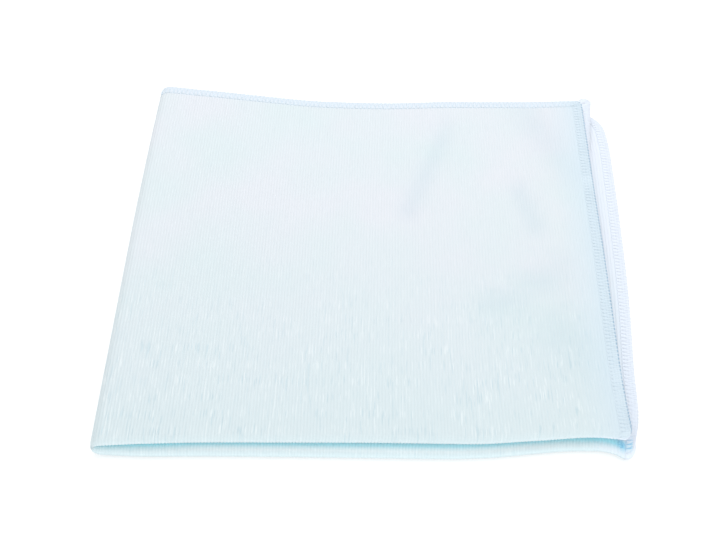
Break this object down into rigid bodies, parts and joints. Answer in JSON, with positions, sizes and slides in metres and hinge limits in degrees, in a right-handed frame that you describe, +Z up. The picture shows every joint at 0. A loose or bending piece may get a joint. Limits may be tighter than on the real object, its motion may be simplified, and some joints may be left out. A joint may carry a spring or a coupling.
{
  "type": "polishing cloth",
  "caption": "Square ribbed microfibre polishing cloth folded in quarters, with overlocked edges and a top half that opens like a book.",
  "frame": {"origin": "centre of the folded cloth's box, at the level it rests on", "axes": "+X right, across the ribs, away from the left fold; +Y back, along the ribs, away from the front fold; +Z up through the stack"},
  "size_m": [0.2072, 0.1982, 0.0092],
  "materials": {
    "knit": "ribbed brushed knit",
    "needle_thread": "spun thread",
    "looper_thread": "textured thread"
  },
  "bodies": {
    "lower_half": {"layer_1": "knit", "layer_2": "knit", "front_fold_lower": "knit", "front_corner_lower": "knit", "left_bend_outer_lower": "knit", "left_bend_inner_lower": "knit", "needle_thread_1": "needle_thread", "needle_thread_2": "needle_thread", "upper_looper_1": "looper_thread", "upper_looper_2": "looper_thread", "lower_looper_1": "looper_thread", "lower_looper_2": "looper_thread"},
    "upper_half": {"layer_3": "knit", "layer_4": "knit", "front_fold_upper": "knit", "front_corner_upper": "knit", "left_bend_outer_upper": "knit", "left_bend_inner_upper": "knit", "needle_thread_3": "needle_thread", "needle_thread_4": "needle_thread", "upper_looper_3": "looper_thread", "upper_looper_4": "looper_thread", "lower_looper_3": "looper_thread", "lower_looper_4": "looper_thread"}
  },
  "joints": [
    {"name": "left_fold", "type": "hinge", "parent": "lower_half", "child": "upper_half", "pos_m": [-0.10376, 0, 0.0046], "axis": [0, -1, 0], "range_deg": [0, 179.9]}
  ]
}
